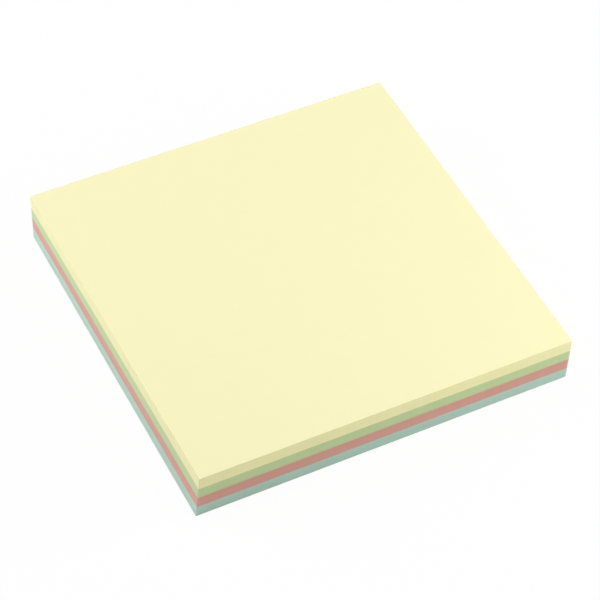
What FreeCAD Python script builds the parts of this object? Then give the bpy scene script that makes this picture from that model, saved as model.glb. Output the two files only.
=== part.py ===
import FreeCAD, Part
import math
import os

# Sticky note pad: four blocks of square coloured sheets, stacked and cut together,
# each sheet held to the next by a band of low-tack glue along one edge, with a
# release liner under the lowest sheet.
#
# Lengths are in millimetres. The origin is the middle of the face that the pad
# rests on, and +Z is up. The glued edge faces -X, and Y runs along it.
#
# The glue makes every sheet thicker along the glued edge, so the faces between
# sheets are planes that lean a little more with each sheet, and the pad is a
# slight wedge. The loose sheets have also drifted: from the bottom of the stack
# to its top they turn and shift by a steady small amount.
#
# Each sheet shows on the sides as a flat cut band with a small bevel above and
# below it, so that two neighbours meet at the bottom of a fine groove.

# The sheets
NOTE_WIDTH = 75.0            # from the glued edge to the free edge, along X
NOTE_LENGTH = 75.0           # along the glued edge
SHEETS_PER_COLOUR = 25
YELLOW_CALIPER = 0.1070      # thickness of one sheet at the middle of its free edge
GREEN_CALIPER = 0.0920
PINK_CALIPER = 0.0975
BLUE_CALIPER = 0.0960
LINER_CALIPER = 0.0700

# The glue
GLUE_BUILD = 0.0144          # how much thicker one sheet is at its glued edge
END_BUILD = 0.0096           # how much thicker one sheet is at its +Y end than at -Y

# The cut edges
CORNER_FLAT = 0.06           # how far the blunted corner cuts back along each side
BEVEL_DEPTH = 0.030          # how far the groove between two sheets reaches in
BEVEL_HEIGHT = 0.018         # how much of a sheet's thickness one bevel takes

# How the stack has drifted, top sheet against liner
TWIST_DEGREES = 0.636
SHIFT_X = 0.195
SHIFT_Y = -0.165
SCATTER = 0.015              # how far each single sheet stands off that drift
SCATTER_TURN_DEGREES = 137.508   # the direction of that offset, from sheet to sheet


class Plane:
    """A face between two sheets: paper is the height of paper below it at the free
    edge, glued the number of glued sheets below it, and share its place in the
    stack from 0, the bottom, to 1, the top."""

    def __init__(self, paper, glued, share):
        self.paper = paper
        self.glued = glued
        self.share = share

    def height(self, x, y):
        towards_glue = 0.5 - x / NOTE_WIDTH
        towards_end = y / NOTE_LENGTH
        return self.paper + self.glued * (GLUE_BUILD * towards_glue + END_BUILD * towards_end)


def square_outline(inset):
    """Corners of the note, with its blunted corners, all sides moved in by inset."""
    half_x = NOTE_WIDTH / 2 - inset
    half_y = NOTE_LENGTH / 2 - inset
    cut = CORNER_FLAT
    return [
        (half_x - cut, -half_y), (half_x, cut - half_y),
        (half_x, half_y - cut), (half_x - cut, half_y),
        (cut - half_x, half_y), (-half_x, half_y - cut),
        (-half_x, cut - half_y), (cut - half_x, -half_y),
    ]


def drifted(outline, share, offset=(0.0, 0.0)):
    """The outline as it lies at that share of the stack, moved by offset as well."""
    from_middle = share - 0.5
    turn = math.radians(TWIST_DEGREES) * from_middle
    move_x = SHIFT_X * from_middle + offset[0]
    move_y = SHIFT_Y * from_middle + offset[1]
    return [
        (x * math.cos(turn) - y * math.sin(turn) + move_x,
         x * math.sin(turn) + y * math.cos(turn) + move_y)
        for x, y in outline
    ]


def section(outline, plane, lift=0.0):
    """A closed wire of the outline, lying on a plane or lifted off it."""
    points = [FreeCAD.Vector(x, y, plane.height(x, y) + lift) for x, y in outline]
    return Part.makePolygon(points + points[:1])


def groove_section(plane):
    """The bottom of the groove where two sheets meet."""
    return section(drifted(square_outline(BEVEL_DEPTH), plane.share), plane)


def cut_band_sections(below, above, number):
    """Lower and upper rim of one sheet's flat cut band."""
    angle = math.radians(SCATTER_TURN_DEGREES) * number
    offset = (SCATTER * math.cos(angle), SCATTER * math.sin(angle))
    middle_share = (below.share + above.share) / 2
    outline = drifted(square_outline(0.0), middle_share, offset)
    return [section(outline, below, BEVEL_HEIGHT), section(outline, above, -BEVEL_HEIGHT)]


def sheet_stack(planes, first_number):
    """One solid of the sheets that lie between the planes given, bottom to top."""
    wires = [groove_section(planes[0])]
    for number, (below, above) in enumerate(zip(planes, planes[1:]), first_number):
        wires += cut_band_sections(below, above, number)
        wires.append(groove_section(above))
    solid_ends, straight_sides = True, True
    return Part.makeLoft(wires, solid_ends, straight_sides)


def stack_planes():
    """The planes of each piece, bottom to top, as a list for each piece's name."""
    colours = [
        ("blue_sheets", BLUE_CALIPER),
        ("pink_sheets", PINK_CALIPER),
        ("green_sheets", GREEN_CALIPER),
        ("yellow_sheets", YELLOW_CALIPER),
    ]
    sheet_total = 1 + SHEETS_PER_COLOUR * len(colours)
    paper, sheets = LINER_CALIPER, 1
    pieces = {"release_liner": [Plane(0.0, 0, 0.0), Plane(paper, 0, sheets / sheet_total)]}
    plane = pieces["release_liner"][-1]
    for name, caliper in colours:
        pieces[name] = [plane]
        for _ in range(SHEETS_PER_COLOUR):
            sheets += 1
            plane = Plane(plane.paper + caliper, plane.glued + 1, sheets / sheet_total)
            pieces[name].append(plane)
    return pieces


def main():
    os.makedirs("parts", exist_ok=True)
    number = 0
    for name, planes in stack_planes().items():
        piece = sheet_stack(planes, number)
        number += len(planes) - 1
        piece.exportStep(os.path.join("parts", name + ".step"))
        box = piece.BoundBox
        print(name, "solids", len(piece.Solids), "faces", len(piece.Faces), "valid", piece.isValid(),
              "volume %.1f" % piece.Volume, "x %.3f to %.3f" % (box.XMin, box.XMax),
              "y %.3f to %.3f" % (box.YMin, box.YMax), "z %.3f to %.3f" % (box.ZMin, box.ZMax))


main()
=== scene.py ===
import math

import bpy
import numpy as np
from bpy.props import FloatProperty, FloatVectorProperty, IntProperty, PointerProperty
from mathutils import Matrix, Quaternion, Vector


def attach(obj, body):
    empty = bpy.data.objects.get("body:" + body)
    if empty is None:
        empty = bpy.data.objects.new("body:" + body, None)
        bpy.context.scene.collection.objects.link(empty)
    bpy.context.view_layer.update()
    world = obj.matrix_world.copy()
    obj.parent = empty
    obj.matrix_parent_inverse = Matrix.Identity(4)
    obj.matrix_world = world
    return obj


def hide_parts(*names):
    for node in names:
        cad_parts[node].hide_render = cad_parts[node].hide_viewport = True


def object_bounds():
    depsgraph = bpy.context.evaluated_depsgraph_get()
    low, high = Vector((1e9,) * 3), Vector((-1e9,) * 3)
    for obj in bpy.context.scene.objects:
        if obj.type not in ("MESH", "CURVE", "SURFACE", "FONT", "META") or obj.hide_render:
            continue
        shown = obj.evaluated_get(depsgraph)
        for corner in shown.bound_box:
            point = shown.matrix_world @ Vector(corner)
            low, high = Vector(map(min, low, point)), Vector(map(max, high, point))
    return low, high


bl_info = {
    "name": "Sticky Note Pad",
    "version": (1, 0, 0),
    "blender": (4, 5, 0),
    "location": "3D View > Sidebar > Note Pad",
    "description": "Dresses the packed solids of a pad of pastel sticky notes",
    "category": "Add Mesh",
}

# A pad of square sticky notes in four colours, lying on its release liner. Each
# colour is one piece: a skin that follows every sheet's cut edge up the sides of
# the block and closes over its flat faces. Its four corners, its lean and its
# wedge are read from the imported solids, so it lies where they do.

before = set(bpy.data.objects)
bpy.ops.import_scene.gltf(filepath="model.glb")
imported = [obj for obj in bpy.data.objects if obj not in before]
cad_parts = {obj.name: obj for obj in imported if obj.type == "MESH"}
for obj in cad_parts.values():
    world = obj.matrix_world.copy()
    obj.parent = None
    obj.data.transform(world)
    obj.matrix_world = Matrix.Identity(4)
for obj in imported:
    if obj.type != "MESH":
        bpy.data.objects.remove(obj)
CAD_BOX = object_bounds()
MM = 0.001
BODY = "root"
TOP_NODE = "yellow_sheets"
RANDOM_SEED = 7

# The cut edges
RIM_BULGE = 0.88             # how far a sheet's rims stand out, when its crest stands out 1
DEPTH_SPREAD = 0.25          # how much the depths of the grooves differ, against their mean
SHARP_ANGLE = math.radians(20)   # faces that meet more sharply are shaded as an edge

# The slow swell of the top sheet: how many radians each of its two crossing waves
# turns from the middle of the sheet to its rim, across the sheet and along it
WAVE_TURN = (3.1, 1.3)
CROSSING_TURN = (-0.7, 2.3)
FADE_POWER = 4               # the higher, the nearer to the rim the swell fades out

# Patterns in the paper, in features to the metre
CLOUD_SCALE = 330.0          # the cloudy formation of a sheet
FIBRE_SCALE = 5200.0
KNIFE_SCALE = 2600.0         # the marks that the knife leaves across a cut edge
KNIFE_UPRIGHT = (1.0, 1.0, 0.03)   # draws those marks out upright

# How much each pattern lightens and darkens a face or a cut edge
FACE_CLOUD_SHADE = 0.018
FACE_FIBRE_SHADE = 0.020
EDGE_SHEET_SHADE = 0.025
EDGE_KNIFE_SHADE = 0.080
EDGE_FIBRE_SHADE = 0.060
WEAR_AND_HIGHLIGHT_WHITENESS = 0.12        # how far the cut edges turn white at the corners, for worn fibres and as a painted highlight of light catching the corner edge

# How rough the patterns make the paper
FIBRE_ROUGHNESS = 0.12
EDGE_KNIFE_HEIGHT = 0.8      # this and the next against the height of a face's fibres
EDGE_FIBRE_HEIGHT = 0.4
BUMP_STRENGTH = 0.5
BUMP_HEIGHT = 0.010 * MM

# The studio
WHITE = (1.0, 1.0, 1.0)
FLOOR_GREY = (0.93, 0.93, 0.93)
FLOOR_REACH = 2.0            # from the pad to the floor's edge, in metres
FLOOR_LINES = 5              # rows of points in the floor, each way
FLOOR_LIFT = 0.02 * MM       # how far the floor lies above the pad's underside
SENSOR_WIDTH = 36.0          # in millimetres, as the focal length is
NEAREST_SEEN = 0.01          # what lies nearer to the camera isn't seen, in metres


def colour_property(name, description, linear):
    """A colour that a user can change, with its default in linear light."""
    return FloatVectorProperty(name=name, description=description, subtype="COLOR", size=3,
                               default=linear, min=0.0, max=1.0)


def length_property(name, description, metres):
    """A small length that a user can change, with its default in metres."""
    return FloatProperty(name=name, description=description, default=metres, min=0.0,
                         unit="LENGTH", precision=6)


class NotePadSizes(bpy.types.PropertyGroup):
    """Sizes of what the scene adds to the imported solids."""

    sheets: IntProperty(
        name="Sheets per colour", description="How many sheets lie in one coloured block",
        default=25, min=2)
    groove_depth: length_property(
        "Groove depth", "How far the groove between two sheets reaches in", 0.030 * MM)
    bevel_height: length_property(
        "Bevel height", "How much of a sheet's thickness one side of a groove takes", 0.018 * MM)
    corner_radius: length_property(
        "Corner radius", "Radius of a note's blunted corners", 0.10 * MM)
    # the pale corner is partly worn fibres and partly a painted highlight of light catching the corner
    # edge
    wear_and_highlight_length: length_property(
        "Worn length", "How far the pale wear reaches along a side from its corner", 0.30 * MM)
    scatter: length_property(
        "Register scatter", "How far single sheets stand off their neighbours", 0.012 * MM)
    edge_wave: length_property(
        "Edge wave", "How far a cut edge wanders in and out along a side", 0.006 * MM)
    face_wave: length_property(
        "Face wave", "How far the top sheet swells and dips", 0.012 * MM)
    side_steps: IntProperty(
        name="Side steps", description="Points along one side of a note", default=176, min=8)
    corner_steps: IntProperty(
        name="Corner steps", description="Points round one corner of a note", default=6, min=2)
    face_rings: IntProperty(
        name="Face rings", description="Rings of points over the top sheet", default=20, min=2)


class NotePadColours(bpy.types.PropertyGroup):
    """Colours of the papers, on their faces and on their cut edges."""

    yellow_face: colour_property("Yellow face", "Face of a yellow sheet", (0.940, 0.897, 0.542))
    yellow_edge: colour_property("Yellow edge", "Cut edge of a yellow sheet", (0.840, 0.807, 0.449))
    green_face: colour_property("Green face", "Face of a green sheet", (0.558, 0.694, 0.391))
    green_edge: colour_property("Green edge", "Cut edge of a green sheet", (0.502, 0.626, 0.320))
    pink_face: colour_property("Pink face", "Face of a pink sheet", (0.709, 0.356, 0.317))
    pink_edge: colour_property("Pink edge", "Cut edge of a pink sheet", (0.638, 0.321, 0.260))
    blue_face: colour_property("Blue face", "Face of a blue sheet", (0.466, 0.668, 0.619))
    blue_edge: colour_property("Blue edge", "Cut edge of a blue sheet", (0.420, 0.601, 0.507))
    liner_face: colour_property("Liner face", "Underside of the liner", (0.820, 0.810, 0.760))
    liner_edge: colour_property("Liner edge", "Cut edge of the liner", (0.700, 0.690, 0.630))


class NotePadStudio(bpy.types.PropertyGroup):
    """Where the camera stands, how strong the light is and how white the floor looks."""

    target: FloatVectorProperty(
        name="Target", description="Point of the floor at the middle of the picture",
        default=(1.525 * MM, 0.740 * MM, 0.0), subtype="TRANSLATION", unit="LENGTH", precision=5)
    distance: FloatProperty(
        name="Distance", description="From the target to the camera", default=0.508, unit="LENGTH")
    azimuth: FloatProperty(
        name="Azimuth", description="Bearing of the camera from the front, anticlockwise from above",
        default=math.radians(-27.20), subtype="ANGLE")
    elevation: FloatProperty(
        name="Elevation", description="Height of the camera above the horizon",
        default=math.radians(47.94), subtype="ANGLE")
    roll: FloatProperty(
        name="Roll", description="Turn of the camera about its own line of sight",
        default=math.radians(1.03), subtype="ANGLE")
    focal_length: FloatProperty(
        name="Focal length", description="Lens, in millimetres on a 36 mm sensor", default=161.40)
    world_strength: FloatProperty(
        name="World strength", description="Light from all round", default=0.1)
    lamp_strength: FloatProperty(
        name="Lamp strength", description="Factor on every lamp", default=1.0)
    floor_white: FloatProperty(
        name="Floor white", description="How much of the floor's shade is left out of the picture",
        default=0.95, min=0.0, max=1.0)


class Wire:
    """An output socket of a material's nodes. Arithmetic on it adds Math nodes, and add()
    makes any other node. A wire with no socket only holds the node tree."""

    def __init__(self, tree, socket=None):
        self.tree = tree
        self.socket = socket

    def add(self, kind, settings, inputs, output=0):
        """A new node: its settings are made first, then each named or numbered input gets
        its value or its link. Returns the wire from the output asked for, if there is one."""
        node = self.tree.nodes.new(kind)
        for name, value in settings.items():
            setattr(node, name, value)
        for name, value in inputs.items():
            if isinstance(value, Wire):
                self.tree.links.new(value.socket, node.inputs[name])
            else:
                node.inputs[name].default_value = value
        return Wire(self.tree, node.outputs[output]) if node.outputs else None

    def maths(self, operation, first, second):
        return self.add("ShaderNodeMath", {"operation": operation}, {0: first, 1: second})

    def __add__(self, other):
        return self.maths("ADD", self, other)

    def __sub__(self, other):
        return self.maths("SUBTRACT", self, other)

    def __mul__(self, other):
        return self.maths("MULTIPLY", self, other)

    __radd__ = __add__
    __rmul__ = __mul__

    def __rsub__(self, other):
        return self.maths("SUBTRACT", other, self)

    def stretched(self, factors):
        """A vector with each part multiplied by its own factor."""
        return self.add("ShaderNodeVectorMath", {"operation": "MULTIPLY"}, {0: self, 1: factors})

    def scaled(self, factor):
        """A colour or vector multiplied by one value."""
        return self.add("ShaderNodeVectorMath", {"operation": "SCALE"}, {0: self, "Scale": factor})

    def mixed(self, first, second):
        """The first colour where this wire is 0, and the second where it is 1."""
        return self.add("ShaderNodeMix", {"data_type": "RGBA"}, {0: self, 6: first, 7: second}, 2)

    def noise(self, scale, detail):
        """Noise about zero, from -0.5 to 0.5, at a number of features per metre."""
        texture = self.add("ShaderNodeTexNoise", {}, {"Vector": self, "Scale": scale, "Detail": detail})
        return texture - 0.5


def new_material(name):
    """An empty material and the bare wire that its nodes start from."""
    material = bpy.data.materials.new(name)
    material.use_nodes = True
    material.node_tree.nodes.clear()
    return material, Wire(material.node_tree)


def opaque(colour):
    """The colour with an alpha of 1, as colour sockets take it."""
    return (*colour, 1.0)


def paper_material(name, face_colour, edge_colour, face_roughness, edge_roughness, specular):
    """Paper. On a face: cloudy formation and fibres. On a cut edge, which the knife leaves smoother: a
    tone for each sheet, fine upright marks, and a paler shade near the corners, partly worn fibres and
    partly a painted highlight of light catching the corner edge. The attribute cut_edge tells faces and
    edges apart."""
    material, start = new_material(name)
    place = start.add("ShaderNodeTexCoord", {}, {}, "Object")
    edge, sheet_tone, corner_wear_and_highlight = [
        start.add("ShaderNodeAttribute", {"attribute_name": attribute}, {}, "Fac")
        for attribute in ("cut_edge", "sheet_tone", "corner_wear_and_highlight")]
    cloud = place.noise(CLOUD_SCALE, detail=3.0)
    fibre = place.noise(FIBRE_SCALE, detail=3.0)
    knife = place.stretched(KNIFE_UPRIGHT).noise(KNIFE_SCALE, detail=4.0)

    face_shade = cloud * FACE_CLOUD_SHADE + fibre * FACE_FIBRE_SHADE
    edge_shade = sheet_tone * EDGE_SHEET_SHADE + knife * EDGE_KNIFE_SHADE + fibre * EDGE_FIBRE_SHADE
    shade = 1.0 + face_shade * (1.0 - edge) + edge_shade * edge
    colour = edge.mixed(opaque(face_colour), opaque(edge_colour)).scaled(shade)
    # painted highlight: the cut edge is mixed towards white near the corners, partly for worn fibres
    # and partly for light catching the corner edge
    colour = (corner_wear_and_highlight * edge * WEAR_AND_HIGHLIGHT_WHITENESS).mixed(colour, opaque(WHITE))
    edge_height = knife * EDGE_KNIFE_HEIGHT + fibre * EDGE_FIBRE_HEIGHT
    bump = start.add("ShaderNodeBump", {}, {
        "Height": fibre * (1.0 - edge) + edge_height * edge,
        "Strength": BUMP_STRENGTH,
        "Distance": BUMP_HEIGHT,
    })
    roughness = face_roughness * (1.0 - edge) + edge_roughness * edge
    paper = start.add("ShaderNodeBsdfPrincipled", {}, {
        "Base Color": colour,
        "Roughness": roughness + fibre * FIBRE_ROUGHNESS,
        "Specular IOR Level": specular,
        "Normal": bump,
    })
    start.add("ShaderNodeOutputMaterial", {}, {"Surface": paper})
    return material


def white_seen(start):
    """1 for rays that show the background itself: from the camera, a mirror or glass."""
    seen = [start.add("ShaderNodeLightPath", {}, {}, output)
            for output in ("Is Camera Ray", "Is Glossy Ray", "Is Transmission Ray")]
    return seen[0] + seen[1] + seen[2]


def floor_material(white_share):
    """A white floor. What looks at it sees its shade mixed with plain white."""
    material, start = new_material("white floor")
    matt = start.add("ShaderNodeBsdfDiffuse", {}, {"Color": opaque(FLOOR_GREY)})
    plain = start.add("ShaderNodeEmission", {}, {"Color": opaque(WHITE), "Strength": 1.0})
    plain_part = white_seen(start) * white_share
    surface = start.add("ShaderNodeMixShader", {}, {0: plain_part, 1: matt, 2: plain})
    start.add("ShaderNodeOutputMaterial", {}, {"Surface": surface})
    return material


def light_the_world(world, strength):
    """Even light from all round, which looks plain white to the camera."""
    world.use_nodes = True
    world.node_tree.nodes.clear()
    start = Wire(world.node_tree)
    seen = white_seen(start)
    level = seen + (1.0 - seen) * strength
    sky = start.add("ShaderNodeBackground", {}, {"Color": opaque(WHITE), "Strength": level})
    start.add("ShaderNodeOutputWorld", {}, {"Surface": sky})


def face_corners(node, direction):
    """The four corners that a packed block's flat face would have if they were sharp,
    front left first and then anticlockwise; direction is 1 for its upper face and -1 for
    its lower one. A blunted corner has two points; the sharp one lies out from the middle
    of the line between them, by half that line's length, on the plane through all points."""
    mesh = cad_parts[node].data
    normals = np.empty(len(mesh.polygons) * 3)
    mesh.polygons.foreach_get("normal", normals)
    used = np.empty(len(mesh.loops), int)
    mesh.loops.foreach_get("vertex_index", used)
    points = np.empty(len(mesh.vertices) * 3)
    mesh.vertices.foreach_get("co", points)
    flat_cosine = 0.99
    flat = normals.reshape(-1, 3)[:, 2] * direction > flat_cosine
    rim = np.unique(points.reshape(-1, 3)[used.reshape(-1, 3)[flat].ravel()], axis=0)

    plan = rim[:, 0] + 1j * rim[:, 1]
    middle = plan.mean()
    quarter = np.floor(np.angle((plan - middle) * 1j) / (math.pi / 2)).astype(int) % 4
    order = np.argsort(quarter, kind="stable").reshape(4, -1)
    first, last = plan[order[:, 0]], plan[order[:, -1]]
    between = (first + last) / 2
    across = (last - first) * 0.5j
    across *= np.sign((across / (between - middle)).real)
    corner = between + across
    slope = np.linalg.lstsq(np.c_[plan.real, plan.imag, np.ones(len(plan))], rim[:, 2], rcond=None)[0]
    height = np.c_[corner.real, corner.imag, np.ones(4)] @ slope
    return np.c_[corner.real, corner.imag, height]


def note_outline(half, sizes):
    """Once round a note, anticlockwise, as numbers x + iy, with the outward direction at each point,
    and how pale its cut edge turns there, partly for worn fibres and partly as a painted highlight of
    light catching the corner: 1 at the corners, and less along the sides. A quarter is a straight run
    along the front and a quarter circle round the next corner; multiplied by i, it becomes the next
    quarter."""
    straight = half - sizes.corner_radius
    run = np.linspace(-straight, straight, sizes.side_steps, endpoint=False)
    turn = np.exp(1j * np.linspace(-math.pi / 2, 0.0, sizes.corner_steps, endpoint=False))
    quarter = np.concatenate([run - 1j * half, straight * (1 - 1j) + sizes.corner_radius * turn])
    outward = np.concatenate([np.full(run.shape, -1j), turn])
    from_corner = straight - np.abs(run)
    # paleness near each corner, for worn fibres and as a painted highlight, falling to nothing along
    # the side
    wear_and_highlight_share = np.concatenate([np.maximum(1 - from_corner / sizes.wear_and_highlight_length, 0), np.ones(turn.shape)])
    turns = 1j ** np.arange(4)[:, None]
    return (turns * quarter).ravel(), (turns * outward).ravel(), np.tile(wear_and_highlight_share, 4)


def spread(corners, plan):
    """Points at plan places, from -1-i to 1+i, between each row's four corners: a corner's
    share is a quarter of (1 + x)(1 + y), with x and y counted towards that corner."""
    towards = np.array([-1 - 1j, 1 - 1j, 1 + 1j, -1 + 1j])
    shares = (1 + towards.real * plan.real[..., None]) * (1 + towards.imag * plan.imag[..., None]) / 4
    return np.einsum("rck,rkd->rcd", shares, corners)


def wander(rng, lines, columns):
    """A slow wave round the outline for each line: a sum of cosines with whole numbers of
    waves to the turn and random phases, and smaller the shorter the wave."""
    waves = np.array([5, 11, 23, 47, 83])
    phase = rng.uniform(0, 2 * math.pi, (lines, len(waves), 1))
    angle = np.linspace(0, 2 * math.pi, columns, endpoint=False)
    return (np.cos(waves[:, None] * angle + phase) * (waves[0] / waves[:, None]) ** 0.5).sum(1) / 2


def block_skin(node, sheets, face_rings, sizes, rng):
    """Rings of points from the middle of a block's underside, out to its rim, up over the edge of every
    sheet and in to the middle of its top. With them come the number of the sheet above each ring, or -1
    on the flat faces, how pale each point of a ring turns, for worn fibres and as a painted highlight
    at the corners, and the middles of the underside and of the top. The flat top is face_rings rings
    wide.

    Up the side, each sheet has four rings: the groove below it, the lower rim of its cut
    edge, its crest and the upper rim. A ring's height is its share of the way between the
    block's packed faces, and it stands out from the groove by its part of the groove depth,
    plus the sheet's own scatter and wave."""
    lower, upper = face_corners(node, -1), face_corners(node, 1)
    half = abs(lower[2] - lower[0])[:2].mean() / 2
    outline, outward, wear_and_highlight_share = note_outline(half, sizes)
    columns = len(outline)

    bevel = sizes.bevel_height * sheets / (upper - lower)[:, 2].mean()
    steps = np.array([0.0, bevel, 0.5, 1.0 - bevel])
    bulge = np.array([0.0, RIM_BULGE, 1.0, RIM_BULGE])
    height = np.append((np.arange(sheets)[:, None] + steps).ravel(), sheets) / sheets
    stand_out = np.append(np.tile(bulge, sheets), 0.0)[:, None] * sizes.groove_depth
    sheet = np.append(np.repeat(np.arange(sheets), len(steps)), sheets - 1)

    on_edge = stand_out > 0
    wave = wander(rng, sheets, columns)[sheet] * sizes.edge_wave
    direction = np.exp(1j * rng.uniform(0, 2 * math.pi, sheets))
    apart = (direction * rng.uniform(0, 1, sheets) * sizes.scatter)[sheet, None]
    depth_change = rng.normal(0, DEPTH_SPREAD, sheets)[sheet, None] * sizes.groove_depth
    depth_change[[0, -1]] = 0.0
    plan = outline + outward * (stand_out + np.where(on_edge, wave, depth_change)) + apart * on_edge
    corners = lower + (upper - lower) * height[:, None, None]
    side = spread(corners, plan / half)

    inwards = np.linspace(1, 0, face_rings, endpoint=False)[1:, None]
    top = spread(np.repeat(upper[None], len(inwards), axis=0), outline * inwards / half)
    bottom = spread(lower[None], outline[None] / 2 / half)
    rings = np.concatenate([bottom, side, top])
    ring_sheet = np.concatenate([[-1], sheet[:-1], np.full(len(top) + 1, -1)])
    return rings, ring_sheet, wear_and_highlight_share, lower.mean(0), upper.mean(0)


def swell(points, sizes):
    """The top sheet's slow swell: the product of two crossing waves, which is nothing at the
    middle of the sheet and fades out towards its rim."""
    half = np.abs(points[..., 0]).max()
    across, along = points[..., 0] / half, points[..., 1] / half
    fade = (1 - across ** FADE_POWER) * (1 - along ** FADE_POWER)
    wave = np.sin(WAVE_TURN[0] * across + WAVE_TURN[1] * along)
    crossing_wave = np.cos(CROSSING_TURN[0] * across + CROSSING_TURN[1] * along)
    return sizes.face_wave * fade * wave * crossing_wave


def closed_mesh(name, rings, first_point, last_point):
    """A mesh of four-sided faces between neighbouring rings, closed by a fan of triangles
    from the first ring to the first point and from the last ring to the last point."""
    rows, columns = rings.shape[:2]
    number = np.arange(rows * columns).reshape(rows, columns)
    beside = np.roll(number, -1, axis=1)
    quads = np.stack([number[:-1], beside[:-1], beside[1:], number[1:]], -1).reshape(-1, 4)
    first, last = np.full(columns, rows * columns), np.full(columns, rows * columns + 1)
    lower_fan = np.stack([first, beside[0], number[0]], -1)
    upper_fan = np.stack([number[-1], beside[-1], last], -1)
    points = np.vstack([rings.reshape(-1, 3), first_point, last_point])
    mesh = bpy.data.meshes.new(name)
    mesh.from_pydata(points.tolist(), [], quads.tolist() + lower_fan.tolist() + upper_fan.tolist())
    mesh.shade_smooth()
    mesh.set_sharp_from_angle(angle=SHARP_ANGLE)
    return mesh


def mark(mesh, name, domain, values):
    """Stores one number for each face or point, for the materials to read."""
    attribute = mesh.attributes.new(name, "FLOAT", domain)
    attribute.data.foreach_set("value", values.astype(np.float32))


def paper_block(context, node, sheets, material):
    """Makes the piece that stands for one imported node, and hands it to the frame. Only the
    top block's upper face is open to view, so the others' need no rings between."""
    sizes = context.scene.note_pad_sizes
    rng = np.random.default_rng(RANDOM_SEED + sorted(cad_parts).index(node))
    face_rings = sizes.face_rings if node == TOP_NODE else 1
    rings, ring_sheet, wear_and_highlight_share, underside, top = block_skin(node, sheets, face_rings, sizes, rng)
    if face_rings > 1:
        on_top = rings[1 - face_rings:]
        on_top[..., 2] += swell(on_top, sizes)
    mesh = closed_mesh(node.replace("_", " "), rings, underside, top)

    columns = rings.shape[1]
    sheet = np.repeat(ring_sheet[:-1], columns)
    sheet = np.append(sheet, np.full(2 * columns, -1))
    tone = np.append(rng.uniform(-1, 1, sheets), 0.0)
    mark(mesh, "cut_edge", "FACE", sheet >= 0)
    mark(mesh, "sheet_tone", "FACE", tone[sheet])
    # how white each cut edge turns near the corners: worn fibres and a painted highlight
    mark(mesh, "corner_wear_and_highlight", "POINT", np.append(np.tile(wear_and_highlight_share, len(rings)), np.zeros(2)))

    piece = bpy.data.objects.new(node + "_paper", mesh)
    context.scene.collection.objects.link(piece)
    piece.data.materials.append(material)
    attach(piece, BODY)
    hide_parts(node)


class NOTE_PAD_OT_sheets(bpy.types.Operator):
    """Add the four blocks of coloured sheets"""

    bl_idname = "note_pad.sheets"
    bl_label = "Coloured Sheets"

    def execute(self, context):
        colours = context.scene.note_pad_colours
        for colour in ("yellow", "green", "pink", "blue"):
            face = getattr(colours, colour + "_face")
            edge = getattr(colours, colour + "_edge")
            material = paper_material(colour + " paper", face, edge,
                                      face_roughness=0.90, edge_roughness=0.40, specular=0.30)
            paper_block(context, colour + "_sheets", context.scene.note_pad_sizes.sheets,
                        material)
        return {"FINISHED"}


class NOTE_PAD_OT_liner(bpy.types.Operator):
    """Add the release liner under the lowest sheet"""

    bl_idname = "note_pad.liner"
    bl_label = "Release Liner"

    def execute(self, context):
        colours = context.scene.note_pad_colours
        material = paper_material("release paper", colours.liner_face, colours.liner_edge,
                                  face_roughness=0.42, edge_roughness=0.40, specular=0.5)
        paper_block(context, "release_liner", 1, material)
        return {"FINISHED"}


class Lamp:
    """A square soft box: its bearing and its height in degrees, seen from the pad, its
    distance and its width in metres, and its power in watts."""

    def __init__(self, name, azimuth, elevation, distance, width, power):
        self.name = name
        self.azimuth = math.radians(azimuth)
        self.elevation = math.radians(elevation)
        self.distance = distance
        self.width = width
        self.power = power


LAMPS = (
    Lamp("overhead soft box", 135, 86, 0.60, 0.50, 2.01),
    Lamp("right soft box", 62, 16, 0.36, 0.26, 1.23),
    Lamp("left soft box", -128, 20, 0.43, 0.30, 1.37),
    Lamp("front soft box", 25, 12, 0.45, 0.20, 0.14),
)


def around(azimuth, elevation):
    """Unit vector towards a bearing, anticlockwise from the front as seen from above, and height."""
    flat = math.cos(elevation)
    return Vector((math.sin(azimuth) * flat, -math.cos(azimuth) * flat, math.sin(elevation)))


def hang_lamp(scene, lamp, strength):
    """Hangs a soft box in its place, facing the pad, where the camera doesn't see it."""
    light = bpy.data.lights.new(lamp.name, "AREA")
    light.shape = "SQUARE"
    light.size = lamp.width
    light.energy = lamp.power * strength
    holder = bpy.data.objects.new(lamp.name, light)
    outwards = around(lamp.azimuth, lamp.elevation)
    holder.location = outwards * lamp.distance
    holder.rotation_mode = "QUATERNION"
    holder.rotation_quaternion = outwards.to_track_quat("Z", "Y")
    holder.visible_camera = False
    scene.collection.objects.link(holder)


def place_camera(scene, studio):
    """The camera looks at the target along the photograph's bearing, turned by its roll."""
    data = bpy.data.cameras.new("camera")
    data.sensor_width = SENSOR_WIDTH
    data.lens = studio.focal_length
    camera = bpy.data.objects.new("camera", data)
    outwards = around(studio.azimuth, studio.elevation)
    camera.location = Vector(studio.target) + outwards * studio.distance
    camera.rotation_mode = "QUATERNION"
    level = outwards.to_track_quat("Z", "Y")
    camera.rotation_quaternion = level @ Quaternion((0.0, 0.0, 1.0), studio.roll)
    data.clip_start = NEAREST_SEEN
    scene.collection.objects.link(camera)
    scene.camera = camera


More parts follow.
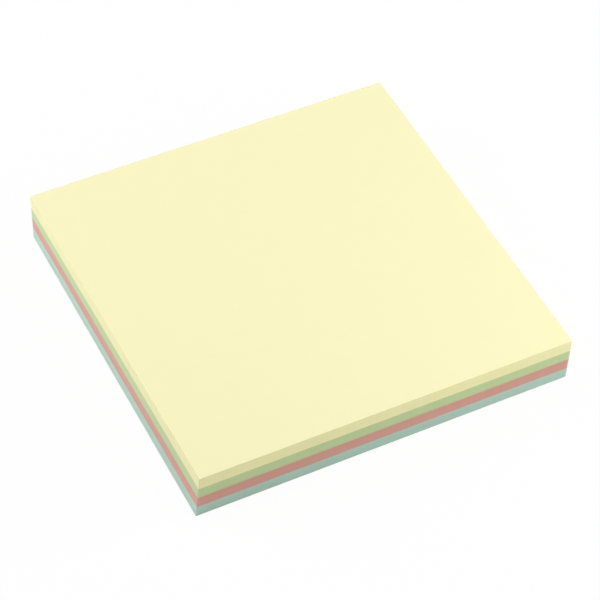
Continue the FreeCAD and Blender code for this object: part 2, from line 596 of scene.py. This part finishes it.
def lay_floor(scene, studio):
    """A flat white floor, wide enough for every view. It lies a hair above the pad's
    underside, because two faces in one plane would mottle each other seen from below."""
    height = CAD_BOX[0].z + FLOOR_LIFT
    across = np.linspace(-FLOOR_REACH, FLOOR_REACH, FLOOR_LINES)
    x, y = np.meshgrid(across, across)
    points = np.stack([x, y, np.full_like(x, height)], -1).reshape(-1, 3)
    number = np.arange(x.size).reshape(x.shape)
    corners = [number[:-1, :-1], number[:-1, 1:], number[1:, 1:], number[1:, :-1]]
    quads = np.stack(corners, -1).reshape(-1, 4)
    mesh = bpy.data.meshes.new("floor")
    mesh.from_pydata(points.tolist(), [], quads.tolist())
    mesh.materials.append(floor_material(studio.floor_white))
    floor = bpy.data.objects.new("floor", mesh)
    scene.collection.objects.link(floor)


class NOTE_PAD_OT_stage(bpy.types.Operator):
    """Add the floor, the soft boxes, the light from all round and the camera"""

    bl_idname = "note_pad.stage"
    bl_label = "Studio"

    def execute(self, context):
        scene = context.scene
        studio = scene.note_pad_studio
        lay_floor(scene, studio)
        for lamp in LAMPS:
            hang_lamp(scene, lamp, studio.lamp_strength)
        if scene.world is None:
            scene.world = bpy.data.worlds.new("studio")
        light_the_world(scene.world, studio.world_strength)
        place_camera(scene, studio)
        scene.view_settings.view_transform = "Standard"
        return {"FINISHED"}


class NOTE_PAD_PT_panel(bpy.types.Panel):
    """Lists the pad's pieces, sizes and colours"""

    bl_idname = "NOTE_PAD_PT_panel"
    bl_label = "Sticky Note Pad"
    bl_space_type = "VIEW_3D"
    bl_region_type = "UI"
    bl_category = "Note Pad"

    def draw(self, context):
        for operator in (NOTE_PAD_OT_sheets, NOTE_PAD_OT_liner, NOTE_PAD_OT_stage):
            self.layout.operator(operator.bl_idname)
        scene = context.scene
        for group in (scene.note_pad_sizes, scene.note_pad_colours, scene.note_pad_studio):
            box = self.layout.box()
            for name in group.__annotations__:
                box.prop(group, name)


CLASSES = (
    NotePadSizes, NotePadColours, NotePadStudio,
    NOTE_PAD_OT_sheets, NOTE_PAD_OT_liner, NOTE_PAD_OT_stage, NOTE_PAD_PT_panel,
)


def register():
    for cls in CLASSES:
        bpy.utils.register_class(cls)
    bpy.types.Scene.note_pad_sizes = PointerProperty(type=NotePadSizes)
    bpy.types.Scene.note_pad_colours = PointerProperty(type=NotePadColours)
    bpy.types.Scene.note_pad_studio = PointerProperty(type=NotePadStudio)


def unregister():
    del bpy.types.Scene.note_pad_sizes
    del bpy.types.Scene.note_pad_colours
    del bpy.types.Scene.note_pad_studio
    for cls in reversed(CLASSES):
        bpy.utils.unregister_class(cls)


def main():
    register()
    bpy.ops.note_pad.sheets()
    bpy.ops.note_pad.liner()
    bpy.ops.note_pad.stage()


if __name__ == "__main__":
    main()
